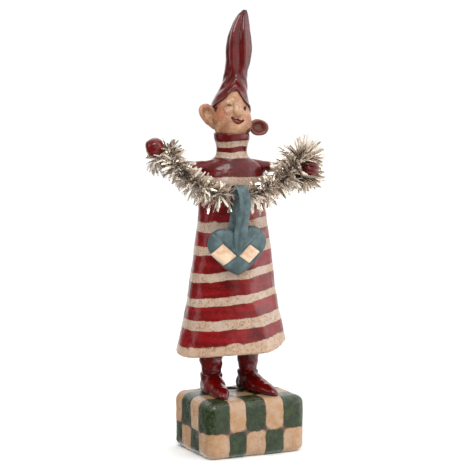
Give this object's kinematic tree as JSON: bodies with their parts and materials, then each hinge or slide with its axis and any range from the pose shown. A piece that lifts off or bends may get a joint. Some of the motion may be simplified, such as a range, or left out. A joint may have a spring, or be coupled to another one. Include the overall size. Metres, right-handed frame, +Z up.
{
  "type": "tomte gnome figurine",
  "caption": "Painted gnome figurine in a tall pointed hat and striped gown on a chequered block, holding a tinsel garland with a swinging heart.",
  "frame": {"origin": "centre of the block's flat underside", "axes": "+Z up, the figure looks along -Y and its own left hand is on +X; the block is turned 8 degrees about +Z"},
  "size_m": [0.0892, 0.0498, 0.2184],
  "materials": {
    "block_paint": "satin",
    "red_glaze": "gloss",
    "gown_paint": "gloss",
    "skin_paint": "satin",
    "heart_paint": "satin",
    "strap_cloth": "satin",
    "steel_wire": "satin",
    "dowel_wood": "matte",
    "foil": "gloss"
  },
  "bodies": {
    "root": {"base_block": "block_paint", "gown": "gown_paint", "head": "skin_paint", "nose": "skin_paint", "ear_right": "skin_paint", "ear_left": "skin_paint", "hat": "red_glaze", "neck_dowel": "dowel_wood", "boot_right": "red_glaze", "boot_left": "red_glaze", "leg_right": "red_glaze", "leg_left": "red_glaze", "leg_pin_right": "steel_wire", "leg_pin_left": "steel_wire", "sleeve_right": "gown_paint", "sleeve_left": "gown_paint", "arm_wire_right": "steel_wire", "arm_wire_left": "steel_wire", "hand_right": "red_glaze", "hand_left": "red_glaze", "garland_wire": "steel_wire", "tinsel_right": "foil", "tinsel_left": "foil"},
    "heart": {"heart_body": "heart_paint", "heart_strap": "strap_cloth"}
  },
  "joints": [
    {"name": "heart_swing", "type": "hinge", "parent": "root", "child": "heart", "pos_m": [-0.005, -0.015, 0.1295], "axis": [-1, 0, 0], "range_deg": [0, 110]}
  ]
}
